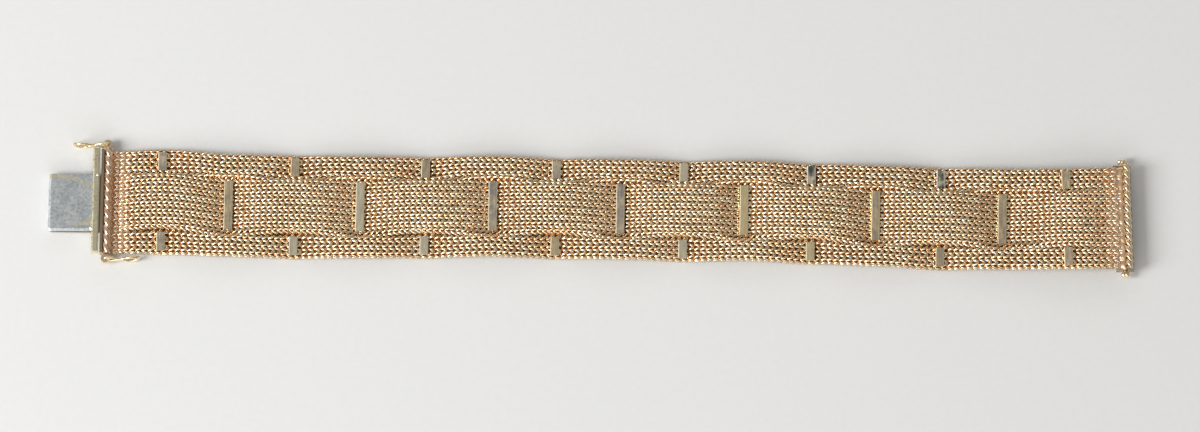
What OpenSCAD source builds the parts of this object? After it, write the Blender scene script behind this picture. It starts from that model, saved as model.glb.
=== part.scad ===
// Woven gold bracelet with a box clasp, unfastened and lying flat.
// X runs along it from the tongue to the box, Y across it, and Z up from the surface it lies on.

/* [Mesh band] */
// Length of the mesh between its two clasp ends
mesh_len = 182.4; // [170:0.1:200]
// Width of the mesh in its middle stretch
mesh_w = 19.1; // [18.6:0.1:19.3]
// Thickness of the mesh where a bar holds it down
mesh_t = 1.35; // [1.1:0.05:1.6]
// How far the middle strip rises between two long bars
mid_rise = 1.7; // [0.8:0.1:2.2]
// How far the side strips rise between two short bars
side_rise = 1.2; // [0.6:0.1:1.8]
// How much of that rise the underside follows
hollow = 0.85; // [0.5:0.05:0.95]

/* [Bars] */
// Width of every bar along the bracelet
bar_w = 1.57; // [1.2:0.01:1.7]
// Thickness of every bar
bar_t = 0.45; // [0.35:0.05:0.6]
// Bevel along the long edges of a bar
bar_bevel = 0.16; // [0.08:0.01:0.2]
// Length of the long bars across the middle strip
long_bar = 9.2; // [8.6:0.1:9.3]
// Length of the short bars across the side strips
short_bar = 3.4; // [3:0.1:3.5]

/* [Clasp ends] */
// Width across both clasp ends
end_w = 19.4; // [19:0.1:19.6]
// Diameter of the rope trim at the tongue end
tongue_rope_d = 1.34; // [1.1:0.01:1.4]
// Diameter of the rope trim at the box end
box_rope_d = 1.3; // [1.1:0.01:1.35]
// Angle by which the box end lies turned on the flexible mesh
box_yaw = 2.6; // [0:0.1:4]

/* [Spring tongue] */
// Length of the tongue from its fold to the thumb bar
tongue_len = 8; // [7:0.1:9]
// Width of the tongue
tongue_w = 10.6; // [9:0.1:11]
// Thickness of the two leaves
leaf_t = 0.35; // [0.3:0.05:0.4]
// Outside radius of the fold
fold_r = 0.6; // [0.55:0.01:0.65]
// Angle at which the sprung upper leaf stands open
leaf_rise = 2.5; // [2:0.5:3]
// Length of the thumb bar across the clasp
thumb_len = 19.8; // [18:0.1:20]
// Height and depth of the thumb bar
thumb_side = 1.2; // [1:0.1:1.3]

/* [Clasp box] */
// Height of the box
box_h = 2; // [1.9:0.1:2.4]
// Depth of the full-width frame at the mouth of the box
frame_deep = 3.1; // [2.5:0.1:4]
// Wall of the box
box_wall = 0.3; // [0.25:0.05:0.4]
// Diameter of the two beads that end each side peg
peg_bead = 1.15; // [1:0.05:1.2]

/* [Safety catches] */
// Diameter of the catch wire
wire_d = 0.48; // [0.4:0.02:0.5]
// Length of a catch from its hinge to its tip
catch_len = 6.3; // [5.8:0.1:6.6]
// Distance of each hinge eyelet from the centre line
eyelet_y = 10.7; // [10.6:0.05:10.9]
// Outside diameter of an eyelet
eyelet_d = 1.6; // [1.5:0.05:1.7]
// Running clearance round the hinge wire
hinge_gap = 0.06; // [0.04:0.01:0.08]

/* [Hidden] */
// Gap between pieces that lie on each other
seat_gap = 0.05;
// Mesh held flat on either side of a bar's centre
bar_seat = 0.95;
// Thickness of the mesh where it is soldered to a clasp end
mesh_end_t = 0.95;
// Height of the mesh's underside at the tongue end
tongue_lift = 0.35;
// Width of the slope between a middle pillow and the side strips
flank = 1;
// Where that slope starts beside a long bar and beside the short bars
flank_long = 4.68;
flank_short = 4.26;
// Centre of the short bars from the centre line, on a mesh drawn 18.6 mm wide
upper_y = 6.88;
lower_y = 7.08;
// Span between bars over which a strip reaches its full rise
full_span = 20;
// Sideways offset of the tongue and its slot, and of the thumb bar
tongue_off = -0.3;
thumb_off = 0.1;
// Sideways offset of the clasp box
box_off = 0.25;
// Height of the eyelets, the pegs and the catches' middle line
catch_z = 1.36;

// Lengths along X from the fold's nose
thumb_gap = 0.3;
plate_t = 0.45;
step_len = 1.25;
plate_x = tongue_len + thumb_side + thumb_gap;
step_x = plate_x + plate_t;
mesh_start = step_x + step_len + seat_gap + 0.05;
mesh_end = mesh_start + mesh_len;
box_face = mesh_end + seat_gap + box_rope_d + 0.1;
// The origin lies under the middle of the whole bracelet
tip_x = -(box_face + end_w / 2 * sin(box_yaw)) / 2;
mesh_x = tip_x + mesh_start;

// Stations along the mesh, one row for each place where bars cross it and one for each end
//   share of the mesh's length in percent, sideways sway, extra width
STATIONS = [
    [0, 0, 0.4],
    [5, 0.27, 0.9],
    [11.6, -0.36, 0.4],
    [18.1, -0.32, 0.5],
    [24.6, -0.28, 0.3],
    [31, 0.02, 0.1],
    [37.7, 0.34, 0.1],
    [43.9, 0.26, 0],
    [50.3, 0.2, 0],
    [56.5, 0.17, 0],
    [62.5, 0.34, 0],
    [69.1, 0.13, 0],
    [75.5, -0.22, 0.1],
    [81.9, -0.42, 0.3],
    [88, -0.45, 0.1],
    [94.4, -0.48, 0],
    [100, -0.15, 0.2],
];
SHARE = 0;
SWAY = 1;
WIDEN = 2;
LAST = len(STATIONS) - 1;
// Long bars cross the middle strip at even stations, short bars cross the side strips at odd ones
LONG = [for (i = [2 : 2 : LAST - 2]) i];
SHORT = [for (i = [1 : 2 : LAST - 1]) i];
MID_VALLEYS = concat([0], LONG, [LAST]);
SIDE_VALLEYS = concat([0], SHORT, [LAST]);

// Places across half the mesh, and sections between two stations
ACROSS = [0, 1.8, 3.5, 4.26, 4.75, 5.25, 5.7, 7.1, 8.4, 9.02, 9.3];
SECTIONS = 5;
EDGE_ROUND = 0.6;

// Ease from 0 to 1, level at both ends
function ease(t) = let (c = min(1, max(0, t))) c * c * (3 - 2 * c);
function mix(a, b, t) = a + (b - a) * t;

function station_x(i) = mesh_x + mesh_len * STATIONS[i][SHARE] / 100;
// A column of the table at any place along the mesh
function along(column, x, i = 0) =
    i < LAST - 1 && x > station_x(i + 1) ? along(column, x, i + 1)
    : mix(STATIONS[i][column], STATIONS[i + 1][column],
          ease((x - station_x(i)) / (station_x(i + 1) - station_x(i))));

// Rise of a strip between its valleys, as a share of its full rise
function arch(x, valleys, i = 0) =
    i < len(valleys) - 2 && x > station_x(valleys[i + 1]) ? arch(x, valleys, i + 1)
    : let (a = station_x(valleys[i]) + bar_seat, b = station_x(valleys[i + 1]) - bar_seat,
           t = min(1, max(0, (x - a) / (b - a))))
      min(1, pow((b - a) / full_span, 2)) * pow(sin(180 * t), 0.8);

// Height of the underside towards the ends, where the mesh climbs onto the clasp
box_seat = box_h + seat_gap;
pocket_x = tip_x + box_face - tongue_len - 1.6;
function climb(x, foot, top, height) = height * ease((x - foot) / (top - foot));
function base(x) =
    climb(x, station_x(LAST - 2) + bar_seat, pocket_x, box_seat)
    + climb(-x, -station_x(1) + bar_seat, -mesh_x - 1, tongue_lift);
function thickness(x) =
    mix(mesh_end_t, mesh_t, ease((x - mesh_x - 1) / 5) * ease((mesh_x + mesh_len - 3 - x) / 5));

// 1 on the middle strip, 0 on the side strips
function in_middle(x, y) =
    let (start = mix(flank_long, flank_short, min(1, arch(x, MID_VALLEYS))))
    1 - ease((abs(y) - start) / flank);
// The last pillows are lower, as the mesh is stretched flat over the box
function end_calm(x) = 1 - 0.7 * ease((x - station_x(LAST - 2)) / 6);
function relief(x, y) =
    let (m = in_middle(x, y),
         mid = mid_rise * end_calm(x) * arch(x, MID_VALLEYS) * (1 - 0.12 * pow(y / 4.5, 2)),
         side = side_rise * arch(x, SIDE_VALLEYS) * (1 - 0.2 * pow(max(0, abs(y) - 7.2) / 2, 2)))
    mix(side, mid, m);
function top_z(x, y) = base(x) + thickness(x) + relief(x, y);
function under_z(x, y) = base(x) + hollow * relief(x, y);
function yaw(x) = box_yaw * ease((x - station_x(LAST - 2)) / (station_x(LAST - 1) - station_x(LAST - 2)));

// A place on the mesh, from the distance along it, the distance across it and a height
function stretch(x) = (mesh_w + along(WIDEN, x)) / (2 * ACROSS[len(ACROSS) - 1]);
function place(x, y, z) = let (wide = y * stretch(x)) [x - wide * tan(yaw(x)), wide + along(SWAY, x), z];
// One point of the band's section, side 1 for its top and -1 for its underside
function skin(x, y, side) =
    let (r = min(1, max(0, 1 + (abs(y) - ACROSS[len(ACROSS) - 1]) / EDGE_ROUND)),
         top = top_z(x, y), under = under_z(x, y))
    place(x, y, (top + under) / 2 + side * (top - under) / 2 * sqrt(1 - r * r));

// Closed skin over rings of equally many points
module loft(rings) {
    n = len(rings[0]);
    m = len(rings);
    side = [for (i = [0 : m - 2]) for (j = [0 : n - 1]) let (a = i * n + j, b = i * n + (j + 1) % n)
            each [[a, b + n, b], [a, a + n, b + n]]];
    polyhedron([for (ring = rings) each ring],
               concat([[for (j = [0 : n - 1]) j]], side, [[for (j = [n - 1 : -1 : 0]) (m - 1) * n + j]]));
}

// Round wire along a path, with its section turned about the path's own direction
function unit(v) = v / norm(v);
function heading(path, i) = unit(path[min(i + 1, len(path) - 1)] - path[max(i - 1, 0)]);
module wire(path, r, sides) {
    loft([for (i = [0 : len(path) - 1])
          let (d = heading(path, i), u = unit(cross(d, [0, 1, 0])), v = cross(d, u))
          [for (k = [0 : sides - 1]) path[i] + r * (cos(360 * k / sides) * u + sin(360 * k / sides) * v)]]);
}

// Upright plate with rounded corners seen from above
module rounded_plate(lx, ly, h, r) {
    linear_extrude(h) {
        square([lx - 2 * r, ly], center = true);
        square([lx, ly - 2 * r], center = true);
        for (sx = [-1, 1]) {
            for (sy = [-1, 1]) {
                translate([sx * (lx / 2 - r), sy * (ly / 2 - r)]) circle(r = r, $fn = 32);
            }
        }
    }
}

module block(low, high) {
    translate(low) cube(high - low);
}

// Mesh band
function section_places() =
    [mesh_x, each [for (i = [0 : LAST - 1])
     let (a = station_x(i) + (i == 0 ? 0 : bar_seat), b = station_x(i + 1) - (i == LAST - 1 ? 0 : bar_seat))
     each concat([for (k = [(i == 0 ? 1 : 0) : SECTIONS]) mix(a, b, k / SECTIONS)])]];
function band_ring(x) =
    let (half = len(ACROSS) - 1)
    concat([for (j = [-half : half]) skin(x, sign(j) * ACROSS[abs(j)], -1)],
           [for (j = [half - 1 : -1 : 1 - half]) skin(x, sign(j) * ACROSS[abs(j)], 1)]);

module woven_band() {
    color("goldenrod") loft([for (x = section_places()) band_ring(x)]);
}

// Bars: a flat strip with bevelled long edges, lying on the mesh at a station
module bar(length) {
    half = bar_w / 2;
    rotate([90, 0, 0]) translate([0, 0, -length / 2]) linear_extrude(length)
        polygon([[-half, 0], [half, 0], [half, bar_t - bar_bevel], [half - bar_bevel, bar_t],
                 [bar_bevel - half, bar_t], [-half, bar_t - bar_bevel]]);
}
module bar_at(station, y, length) {
    x = station_x(station);
    slope = (top_z(x + bar_seat, y) - top_z(x - bar_seat, y)) / (2 * bar_seat);
    z = (top_z(x + bar_seat, y) + top_z(x - bar_seat, y)) / 2 + seat_gap;
    color("darkkhaki") translate(place(x, y, z)) rotate([0, -atan(slope), yaw(x)]) bar(length);
}

// Rope trim: two wires twisted round each other, lying across the bracelet
module rope(d, turns, length) {
    wire_r = 0.27 * d;
    rotate([90, 0, 0]) translate([0, 0, -length / 2])
        linear_extrude(length, twist = -360 * turns, slices = 9 * turns)
            for (s = [-1, 1]) {
                translate([s * (d / 2 - wire_r), 0]) circle(r = wire_r * 1.04, $fn = 12);
            }
}
// Height of the step that the tongue end's rope lies on, level with the mesh
step_h = tongue_lift + mesh_end_t;
// Set back of each rope from the face beside it
rope_back = 0.1;
tongue_rope_turns = 6;
box_rope_turns = 7.5;
module tongue_rope() {
    r = tongue_rope_d / 2;
    color("rosybrown") translate([tip_x + step_x + rope_back + r, 0, step_h + seat_gap + r])
        rope(tongue_rope_d, tongue_rope_turns, end_w + 0.2);
}
module box_rope() {
    r = box_rope_d / 2;
    color("burlywood") box_place() translate([-rope_back - r, 0, box_h + seat_gap + r])
        rope(box_rope_d, box_rope_turns, end_w);
}

// Tongue end: plate, step under the rope, shelf under the mesh, lower leaf and two eyelets
fold_x = tip_x + fold_r;
fold_z = 1;
bead_r = fold_r - leaf_t - hinge_gap;
hinge_x = tip_x + step_x + step_len / 2;
eyelet_h = 1;
// Neck that joins an eyelet to the step, below the rope
neck_w = 0.8;
neck_h = 0.5;
// Overlap of soldered pieces that are one solid
join = 0.1;
module eyelet(s) {
    translate([hinge_x, s * eyelet_y, catch_z]) difference() {
        cylinder(d = eyelet_d, h = eyelet_h, center = true, $fn = 48);
        cylinder(d = wire_d + 2 * hinge_gap, h = 2 * eyelet_h, center = true, $fn = 48);
    }
    mirror([0, s > 0 ? 0 : 1, 0])
        block([hinge_x - neck_w / 2, end_w / 2 - join, step_h - neck_h],
              [hinge_x + neck_w / 2, eyelet_y - wire_d, step_h]);
}
plate_h = 2.3;
shelf_len = 1.3;
shelf_t = tongue_lift - seat_gap;
shelf_inset = 0.4;
module tongue_terminal() {
    y0 = tongue_off - tongue_w / 2;
    y1 = tongue_off + tongue_w / 2;
    side = end_w / 2;
    inset = side - shelf_inset;
    leaf_z = fold_z - fold_r;
    step_end = tip_x + step_x + step_len;
    color("tan") union() {
        block([tip_x + plate_x, -side, 0], [tip_x + step_x, side, plate_h]);
        block([tip_x + step_x - join, -side, 0], [step_end, side, step_h]);
        block([step_end - join, -inset, 0], [step_end + shelf_len, inset, shelf_t]);
        block([fold_x, y0, leaf_z], [tip_x + plate_x + join, y1, leaf_z + leaf_t]);
        block([fold_x, y0, leaf_z + leaf_t / 2], [fold_x + leaf_t, y1, fold_z + bead_r / 2]);
        translate([fold_x, y0, fold_z]) rotate([-90, 0, 0]) cylinder(r = bead_r, h = tongue_w, $fn = 48);
        for (s = [-1, 1]) {
            eyelet(s);
        }
    }
}

// Spring leaf: upper leaf that wraps round the bead at the fold, and the thumb bar at its end
thumb_z = 1.45;
thumb_r = 0.3;
module spring_leaf() {
    reach = tongue_len - fold_r;
    color("silver") union() {
        translate([fold_x, tongue_off, fold_z]) rotate([0, -leaf_rise, 0]) {
            difference() {
                rotate([90, 0, 0]) cylinder(r = fold_r, h = tongue_w, center = true, $fn = 64);
                rotate([90, 0, 0]) cylinder(r = fold_r - leaf_t, h = tongue_w + 1, center = true, $fn = 64);
                translate([0, -tongue_w, -2 * fold_r]) cube([2 * fold_r, 2 * tongue_w, 4 * fold_r]);
                translate([-0.08, -tongue_w, -2 * fold_r]) cube([fold_r, 2 * tongue_w, 2 * fold_r]);
            }
            translate([-0.02, -tongue_w / 2, fold_r - leaf_t]) cube([reach + thumb_side / 2, tongue_w, leaf_t]);
        }
        translate([tip_x + tongue_len + thumb_side / 2, thumb_off, thumb_z])
            rounded_plate(thumb_side, thumb_len, thumb_side, thumb_r);
    }
}

// Clasp box: full-width frame with the slot, pocket behind it under the mesh, and two side pegs
module box_place() {
    translate([tip_x + box_face, box_off, 0]) rotate([0, 0, box_yaw]) children();
}
peg_back = 1.5;
peg_len = 1.3;
peg_r = 0.45;
bead_apart = 0.52;
module peg(s) {
    translate([-peg_back, s * (eyelet_y - 0.1), catch_z]) union() {
        for (side = [-1, 1]) {
            translate([side * bead_apart / 2, 0, 0]) sphere(d = peg_bead, $fn = 20);
        }
        rotate([s * 90, 0, 0]) cylinder(r = peg_r, h = peg_len, $fn = 24);
    }
}
module clasp_box() {
    slot_w = tongue_w + 0.4;
    pocket_len = tongue_len + 0.7;
    color("darkgoldenrod") box_place() difference() {
        union() {
            block([-frame_deep, -end_w / 2, 0], [0, end_w / 2, box_h]);
            translate([0, tongue_off, 0])
                block([-pocket_len, -slot_w / 2 - box_wall, 0], [join - frame_deep, slot_w / 2 + box_wall, box_h]);
            for (s = [-1, 1]) {
                peg(s);
            }
        }
        translate([0, tongue_off, 0])
            block([box_wall - pocket_len, -slot_w / 2, box_wall], [1, slot_w / 2, box_h - box_wall]);
    }
}

// Safety catches: a wire bent to a figure of eight, hinged in an eyelet, with an outward tip
//   share of the catch's length, half height of the loop, outward bend
CATCH = [
    [0, 0.56, 0],
    [0, 0.64, 0],
    [0.013, 0.82, 0],
    [0.041, 0.9, 0],
    [0.17, 0.9, 0],
    [0.26, 0.68, 0],
    [0.34, 0.38, 0],
    [0.4, 0.28, 0],
    [0.48, 0.28, 0],
    [0.55, 0.52, 0],
    [0.62, 0.88, 0],
    [0.69, 1.06, 0],
    [0.77, 1.09, 0.02],
    [0.85, 0.92, 0.08],
    [0.92, 0.62, 0.2],
    [0.965, 0.28, 0.32],
];
CATCH_LAST = len(CATCH) - 1;
function catch_point(row, s) = [-row[0] * catch_len, row[2], s * row[1]];
module catch() {
    path = concat([for (i = [0 : CATCH_LAST]) catch_point(CATCH[i], 1)],
                  [for (i = [CATCH_LAST : -1 : 0]) catch_point(CATCH[i], -1)]);
    wire(path, wire_d / 2 - 0.01, 8);
    cylinder(d = wire_d, h = eyelet_h + 0.26, center = true, $fn = 32);
}
module catch_at(s, turn) {
    color("gold") translate([hinge_x, s * eyelet_y, catch_z])
        rotate([0, 0, turn]) mirror([0, s > 0 ? 0 : 1, 0]) catch();
}
module upper_catch() {
    catch_at(1, 3);
}
module lower_catch() {
    catch_at(-1, 180);
}

woven_band();
for (i = [1 : len(LONG)]) {
    bar_at(LONG[i - 1], 0, long_bar);
}
for (i = [1 : len(SHORT)]) {
    bar_at(SHORT[i - 1], upper_y, short_bar);
    bar_at(SHORT[i - 1], -lower_y, short_bar);
}
tongue_terminal();
spring_leaf();
tongue_rope();
clasp_box();
box_rope();
upper_catch();
lower_catch();
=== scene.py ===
"""Woven gold bracelet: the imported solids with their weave, ropes, catches, finishes, light and camera."""
from bisect import bisect
from math import cos, hypot, pi, radians, sin, tan

import bmesh
import bpy
from mathutils import Matrix, Vector, noise


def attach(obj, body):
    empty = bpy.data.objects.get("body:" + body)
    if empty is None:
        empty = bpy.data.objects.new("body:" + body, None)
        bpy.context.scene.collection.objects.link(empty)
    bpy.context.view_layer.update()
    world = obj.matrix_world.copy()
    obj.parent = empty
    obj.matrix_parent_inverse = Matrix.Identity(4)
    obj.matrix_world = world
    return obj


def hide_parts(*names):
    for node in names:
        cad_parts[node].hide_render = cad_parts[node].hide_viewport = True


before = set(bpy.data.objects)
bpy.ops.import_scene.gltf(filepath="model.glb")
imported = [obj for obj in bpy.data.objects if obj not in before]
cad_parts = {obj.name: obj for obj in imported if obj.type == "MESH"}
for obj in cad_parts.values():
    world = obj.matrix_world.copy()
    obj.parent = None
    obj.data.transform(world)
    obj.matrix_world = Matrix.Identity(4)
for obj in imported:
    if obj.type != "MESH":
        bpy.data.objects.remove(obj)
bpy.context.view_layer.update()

MM = 0.001

# Sizes shared with the solids, in millimetres and degrees
MESH_LEN = 182.4
MESH_W = 19.1
MESH_T = 1.35
MESH_END_T = 0.95
MID_RISE = 1.7
SIDE_RISE = 1.2
# How much of the rise the underside follows
HOLLOW = 0.85
BAR_SEAT = 0.95
SEAT_GAP = 0.05
FLANK = 1.0
FLANK_LONG = 4.68
FLANK_SHORT = 4.26
FULL_SPAN = 20.0
EDGE_ROUND = 0.6
# Half the width that the section is drawn with, before it is stretched to the mesh's own width
HALF = 9.3
BOX_H = 2.0
BOX_YAW = 2.6
BOX_OFF = 0.25
TONGUE_LIFT = 0.35
END_W = 19.4
TONGUE_ROPE_D = 1.34
BOX_ROPE_D = 1.3
ROPE_BACK = 0.1
TONGUE_ROPE_TURNS = 6
BOX_ROPE_TURNS = 7.5
# How much longer than the clasp end the tongue's rope is
TONGUE_ROPE_EXTRA = 0.2
WIRE_D = 0.48
CATCH_LEN = 6.3
EYELET_Y = 10.7
EYELET_H = 1.0
CATCH_Z = 1.36
TONGUE_LEN = 8.0
TONGUE_OFF = -0.3
THUMB_SIDE = 1.2
THUMB_LEN = 19.8
THUMB_OFF = 0.1
THUMB_GAP = 0.3
PLATE_T = 0.45
LEAF_W = 10.6
LEAF_FRONT_Y = TONGUE_OFF - LEAF_W / 2

# An arch between two bars is a sine to this power, so it is fuller than a sine
ARCH_POWER = 0.8
# How far the middle pillows fall off at this distance from the centre line, as a share of their rise
MID_FALL = 0.12
MID_FALL_Y = 4.5
# How far the side pillows fall off over a width, beyond this distance from the centre line
SIDE_FALL = 0.2
SIDE_FALL_Y = 7.2
SIDE_FALL_W = 2
# The last pillows lose this share of their rise over this length, where the mesh lies stretched on the box
END_CALM = 0.7
END_CALM_LEN = 6
# Lengths at the tongue and at the box where the mesh is thinnest, and the length over which it thickens
TONGUE_LEVEL = 1
BOX_LEVEL = 3
THICKEN_LEN = 5

# How far the mesh stays off its step besides the seat gap, and how much longer than the tongue its pocket is
MESH_SLACK = 0.05
POCKET_EXTRA = 1.6

# Lengths along X from the fold's nose
STEP_X = TONGUE_LEN + THUMB_SIDE + THUMB_GAP + PLATE_T
STEP_LEN = 1.25
MESH_START = STEP_X + STEP_LEN + SEAT_GAP + MESH_SLACK
BOX_FACE = MESH_START + MESH_LEN + SEAT_GAP + BOX_ROPE_D + ROPE_BACK

# Places along X in the shared frame
TIP_X = -(BOX_FACE + END_W / 2 * sin(radians(BOX_YAW))) / 2
MESH_X = TIP_X + MESH_START
MESH_END_X = MESH_X + MESH_LEN
POCKET_X = TIP_X + BOX_FACE - TONGUE_LEN - POCKET_EXTRA
HINGE_X = TIP_X + STEP_X + STEP_LEN / 2

# Rows where bars cross the mesh: share of its length in percent, sideways sway, extra width
STATIONS = [
    (0, 0, 0.4), (5, 0.27, 0.9), (11.6, -0.36, 0.4), (18.1, -0.32, 0.5), (24.6, -0.28, 0.3), (31, 0.02, 0.1),
    (37.7, 0.34, 0.1), (43.9, 0.26, 0), (50.3, 0.2, 0), (56.5, 0.17, 0), (62.5, 0.34, 0), (69.1, 0.13, 0),
    (75.5, -0.22, 0.1), (81.9, -0.42, 0.3), (88, -0.45, 0.1), (94.4, -0.48, 0), (100, -0.15, 0.2),
]
SHARE, SWAY, WIDEN = range(3)
LAST = len(STATIONS) - 1
MID_VALLEYS = [0, *range(2, LAST - 1, 2), LAST]
SIDE_VALLEYS = [0, *range(1, LAST, 2), LAST]

# How far the rows of links make up for the rise of a flank, from 0 to 1
FLANK_SHARE = 0.8
# Rows of links round the whole section: 15 show from above, 14 lie below
ROWS = 29
# Half the flat width of the section, the length round one of its edges, and the length round all of it
FLAT = HALF - EDGE_ROUND
EDGE_ARC = 2.0
GIRTH = 4 * FLAT + 2 * EDGE_ARC
ROW = GIRTH / ROWS


def ease(t):
    c = min(1.0, max(0.0, t))
    return c * c * (3 - 2 * c)


def mix(a, b, t):
    return a + (b - a) * t


def station_x(i):
    return MESH_X + MESH_LEN * STATIONS[i][SHARE] / 100


def along(column, x):
    """A column of the stations at any place along the mesh."""
    i = 0
    while i < LAST - 1 and x > station_x(i + 1):
        i += 1
    t = ease((x - station_x(i)) / (station_x(i + 1) - station_x(i)))
    return mix(STATIONS[i][column], STATIONS[i + 1][column], t)


def arch(x, valleys):
    """Rise of a strip between its valleys, as a share of its full rise."""
    i = 0
    while i < len(valleys) - 2 and x > station_x(valleys[i + 1]):
        i += 1
    a = station_x(valleys[i]) + BAR_SEAT
    b = station_x(valleys[i + 1]) - BAR_SEAT
    t = min(1.0, max(0.0, (x - a) / (b - a)))
    return min(1.0, ((b - a) / FULL_SPAN) ** 2) * max(0.0, sin(pi * t)) ** ARCH_POWER


def climb(x, foot, top, height):
    return height * ease((x - foot) / (top - foot))


def base(x):
    """Height of the underside, which climbs onto the clasp at both ends."""
    return (climb(x, station_x(LAST - 2) + BAR_SEAT, POCKET_X, BOX_H + SEAT_GAP)
            + climb(-x, -station_x(1) + BAR_SEAT, -MESH_X - TONGUE_LEVEL, TONGUE_LIFT))


def thickness(x):
    from_tongue = ease((x - MESH_X - TONGUE_LEVEL) / THICKEN_LEN)
    from_box = ease((MESH_END_X - BOX_LEVEL - x) / THICKEN_LEN)
    return mix(MESH_END_T, MESH_T, from_tongue * from_box)


class Section:
    """The mesh's cross section at one place along it."""

    def __init__(self, x):
        self.x = x
        middle = arch(x, MID_VALLEYS)
        past = x - station_x(LAST - 2)
        self.side = SIDE_RISE * arch(x, SIDE_VALLEYS)
        self.crest = MID_RISE * (1 - END_CALM * ease(past / END_CALM_LEN)) * middle
        self.start = mix(FLANK_LONG, FLANK_SHORT, min(1.0, middle))
        self.base = base(x)
        self.thick = thickness(x)
        self.stretch = (MESH_W + along(WIDEN, x)) / (2 * HALF)
        self.sway = along(SWAY, x)
        self.lean = tan(radians(BOX_YAW * ease(past / (station_x(LAST - 1) - station_x(LAST - 2)))))
        self.reach = None

    def relief(self, y):
        """Rise of the pillows above a bar's seat."""
        in_middle = 1 - ease((abs(y) - self.start) / FLANK)
        middle = self.crest * (1 - MID_FALL * (y / MID_FALL_Y) ** 2)
        side = self.side * (1 - SIDE_FALL * (max(0.0, abs(y) - SIDE_FALL_Y) / SIDE_FALL_W) ** 2)
        return mix(side, middle, in_middle)

    def rows_even(self):
        """Shifts the rows of links beside a flank towards it, so that those on it aren't stretched."""
        count = 87
        straight = 26
        step = FLAT / count
        reach = [step * k for k in range(straight + 1)]
        for k in range(straight, count):
            rise = self.relief(step * (k + 1)) - self.relief(step * k)
            reach.append(reach[-1] + hypot(step, FLANK_SHARE * rise))
        free = step * straight
        shrink = (FLAT - free) / (reach[-1] - free)
        return [r if r <= free else free + (r - free) * shrink for r in reach]

    def place_across(self, far):
        """Place across the mesh for an even distance from its middle."""
        if self.reach is None:
            self.reach = self.rows_even()
        k = min(bisect(self.reach, far), len(self.reach) - 1)
        low, high = self.reach[k - 1], self.reach[k]
        return FLAT * (k - 1 + (far - low) / (high - low)) / (len(self.reach) - 1)

    def point(self, y, turn):
        """turn 0 is the top, pi the underside, and between them the rounded edge."""
        relief = self.relief(y)
        top = self.base + self.thick + relief
        under = self.base + HOLLOW * relief
        z = (top + under) / 2 + cos(turn) * (top - under) / 2
        wide = y * self.stretch
        return Vector((self.x - wide * self.lean, wide + self.sway, z)) * MM


def round_section(section, arc):
    """Point on the band's skin, for a distance round its section from the top's middle."""
    arc = (arc + GIRTH / 2) % GIRTH - GIRTH / 2
    side = 1 if arc >= 0 else -1
    far = abs(arc)
    if far <= FLAT:
        return section.point(side * section.place_across(far), 0.0)
    if far < FLAT + EDGE_ARC:
        turn = pi * (far - FLAT) / EDGE_ARC
        return section.point(side * (FLAT + EDGE_ROUND * sin(turn)), turn)
    return section.point(side * section.place_across(2 * FLAT + EDGE_ARC - far), pi)


def linked(name, mesh):
    thing = bpy.data.objects.new(name, mesh)
    bpy.context.scene.collection.objects.link(thing)
    return thing


def new_object(name, verts, faces):
    mesh = bpy.data.meshes.new(name)
    mesh.from_pydata(verts, [], faces)
    mesh.update()
    return linked(name, mesh)


def dressed(thing, finish):
    """Gives a piece its material and smooth shading."""
    thing.data.materials.append(finish)
    thing.data.shade_smooth()
    return thing


def faced_out(thing):
    """Turns every face of a closed piece outwards."""
    shape = bmesh.new()
    shape.from_mesh(thing.data)
    bmesh.ops.recalc_face_normals(shape, faces=shape.faces)
    shape.to_mesh(thing.data)
    shape.free()


# Node helpers
def feed(tree, socket, value):
    if isinstance(value, bpy.types.NodeSocket):
        tree.links.new(value, socket)
    else:
        socket.default_value = value


def put(tree, kind, inputs=(), **settings):
    """Adds a node, sets its properties and feeds its inputs by name or number."""
    node = tree.nodes.new(kind)
    for name, value in settings.items():
        setattr(node, name, value)
    for key, value in dict(inputs).items():
        feed(tree, node.inputs[key], value)
    return node


def first(tree, kind, inputs=(), **settings):
    """The first output of a new node."""
    return put(tree, kind, inputs, **settings).outputs[0]


def calc(tree, operation, *values):
    return first(tree, "ShaderNodeMath", enumerate(values), operation=operation)


def plus(tree, a, b):
    return calc(tree, "ADD", a, b)


def minus(tree, a, b):
    return calc(tree, "SUBTRACT", a, b)


def times(tree, a, b):
    return calc(tree, "MULTIPLY", a, b)


def blended(tree, a, b, share):
    """Share of a, and the rest of b."""
    return plus(tree, times(tree, a, share), times(tree, b, 1 - share))


def vector(tree, x=0, y=0, z=0):
    return first(tree, "ShaderNodeCombineXYZ", {"X": x, "Y": y, "Z": z})


def parts(tree, value):
    """The X, Y and Z of a vector."""
    return put(tree, "ShaderNodeSeparateXYZ", {0: value}).outputs


def scaled(tree, value, size):
    return first(tree, "ShaderNodeVectorMath", {0: value, "Scale": size}, operation="SCALE")


def added(tree, a, b):
    return first(tree, "ShaderNodeVectorMath", {0: a, 1: b}, operation="ADD")


def new_tree(title, inputs, result):
    """A Geometry Nodes tree, its input sockets by name, and what they give inside it."""
    tree = bpy.data.node_groups.new(title, "GeometryNodeTree")
    sockets = {}
    for name, kind in inputs:
        sockets[name] = tree.interface.new_socket(name, in_out="INPUT", socket_type="NodeSocket" + kind)
    tree.interface.new_socket(result, in_out="OUTPUT", socket_type="NodeSocketGeometry")
    return tree, sockets, put(tree, "NodeGroupInput").outputs


def end_tree(tree, geometry, finish):
    """The end of every tree: real faces, smooth, with their material."""
    real = first(tree, "GeometryNodeRealizeInstances", {"Geometry": geometry})
    smooth = first(tree, "GeometryNodeSetShadeSmooth", {0: real})
    done = first(tree, "GeometryNodeSetMaterial", {"Geometry": smooth, "Material": finish})
    put(tree, "NodeGroupOutput", {0: done})


def position(tree):
    return first(tree, "GeometryNodeInputPosition")


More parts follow.
